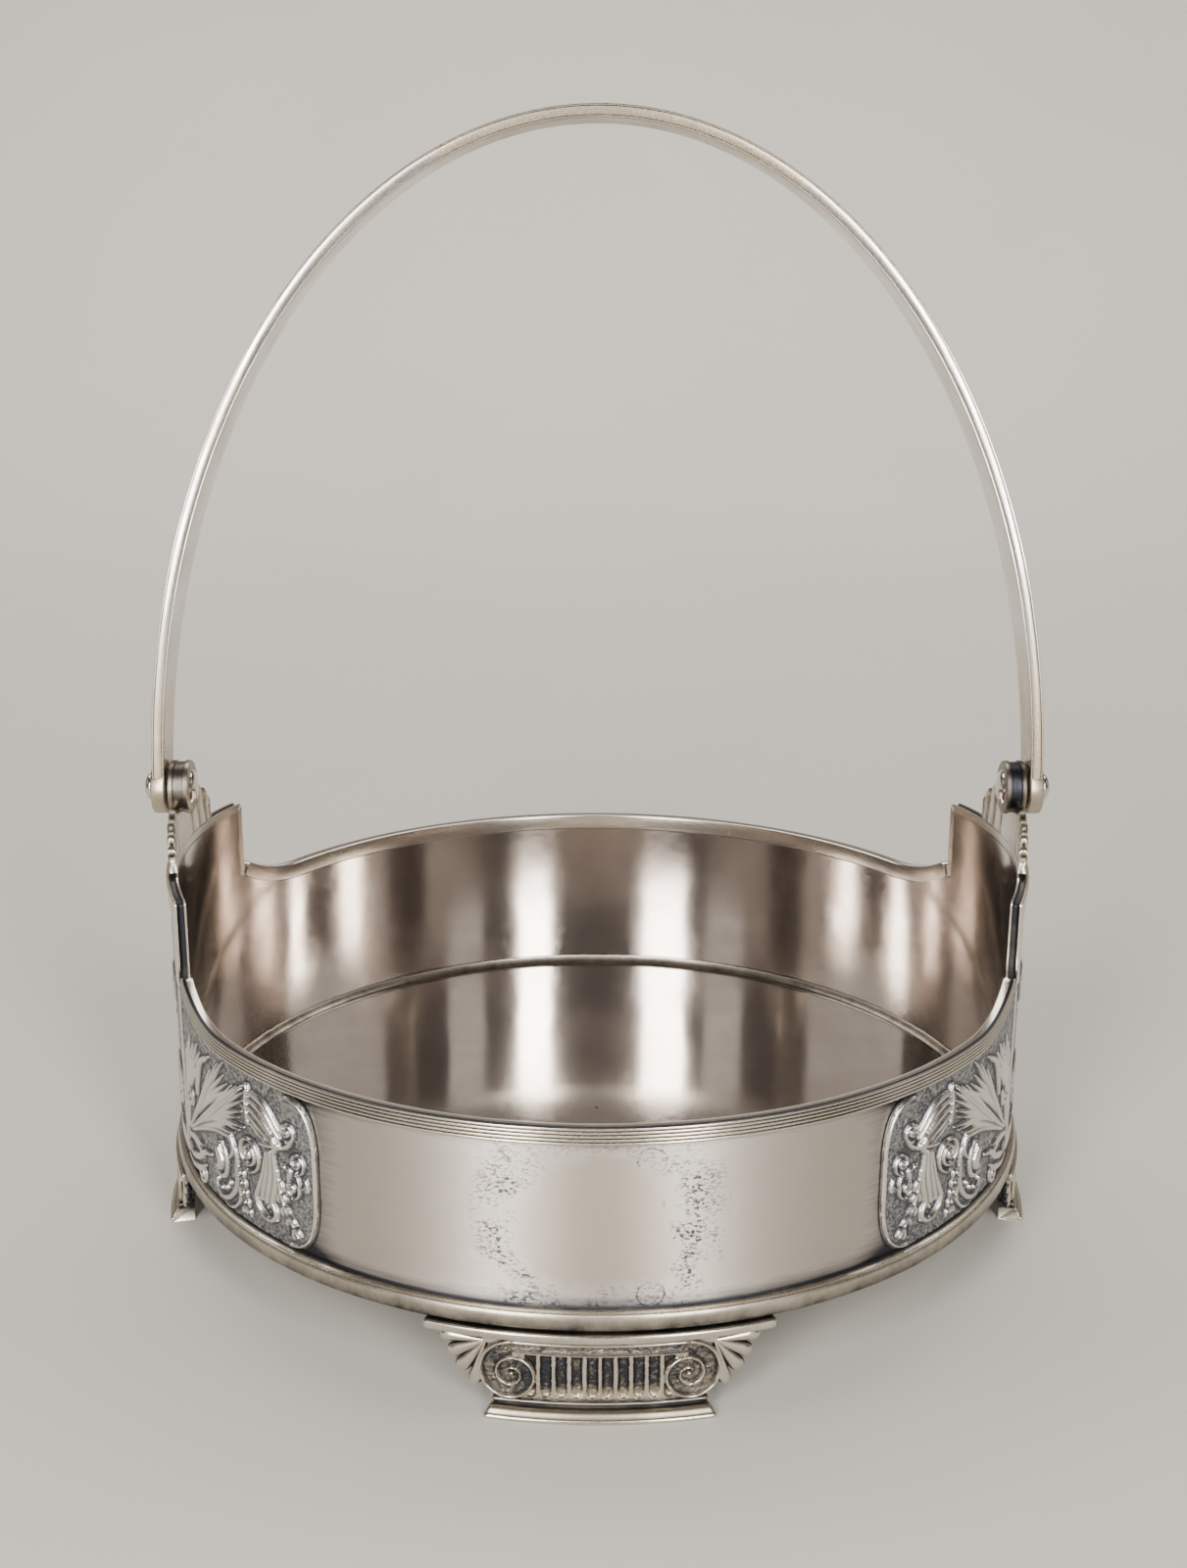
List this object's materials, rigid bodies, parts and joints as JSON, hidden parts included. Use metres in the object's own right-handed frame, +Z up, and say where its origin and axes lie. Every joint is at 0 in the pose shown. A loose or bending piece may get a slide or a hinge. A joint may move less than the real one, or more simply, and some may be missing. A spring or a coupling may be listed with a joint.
{
  "type": "swing-handled basket",
  "caption": "Round silver basket with a straight wall, two raised ears, relief panels, low feet and a tall arched swing handle.",
  "frame": {"origin": "on the table, under the middle of the basket, at the level of the feet's soles", "axes": "+Z up; +X towards the right hinge, along the handle's pivot axis; -Y towards the front, the side that the picture shows"},
  "size_m": [0.2438, 0.2392, 0.2913],
  "materials": {
    "polished_silver": null,
    "satin_silver": null,
    "oxidised_silver": "stippled, darkened silver ground with brighter relief on it"
  },
  "bodies": {
    "basket": {"floor_plate": "polished_silver", "base_moulding": "polished_silver", "wall_band": "polished_silver", "back_rim_moulding": "polished_silver", "front_rim_moulding": "polished_silver", "left_ear_border": "polished_silver", "left_ear_plaque": "satin_silver", "left_hinge_bracket": "satin_silver", "left_pivot_pin": "polished_silver", "left_pivot_rosette": "polished_silver", "right_ear_border": "polished_silver", "right_ear_plaque": "satin_silver", "right_hinge_bracket": "satin_silver", "right_pivot_pin": "polished_silver", "right_pivot_rosette": "polished_silver", "left_front_relief_panel": "oxidised_silver", "left_back_relief_panel": "oxidised_silver", "right_front_relief_panel": "oxidised_silver", "right_back_relief_panel": "oxidised_silver", "front_foot": "satin_silver", "back_foot": "satin_silver", "left_foot": "satin_silver", "right_foot": "satin_silver"},
    "handle": {"handle": "satin_silver"}
  },
  "joints": [
    {"name": "handle_swing", "type": "hinge", "parent": "basket", "child": "handle", "pos_m": [0, 0, 0.1164], "axis": [1, 0, 0], "range_deg": [-117, 127]}
  ]
}
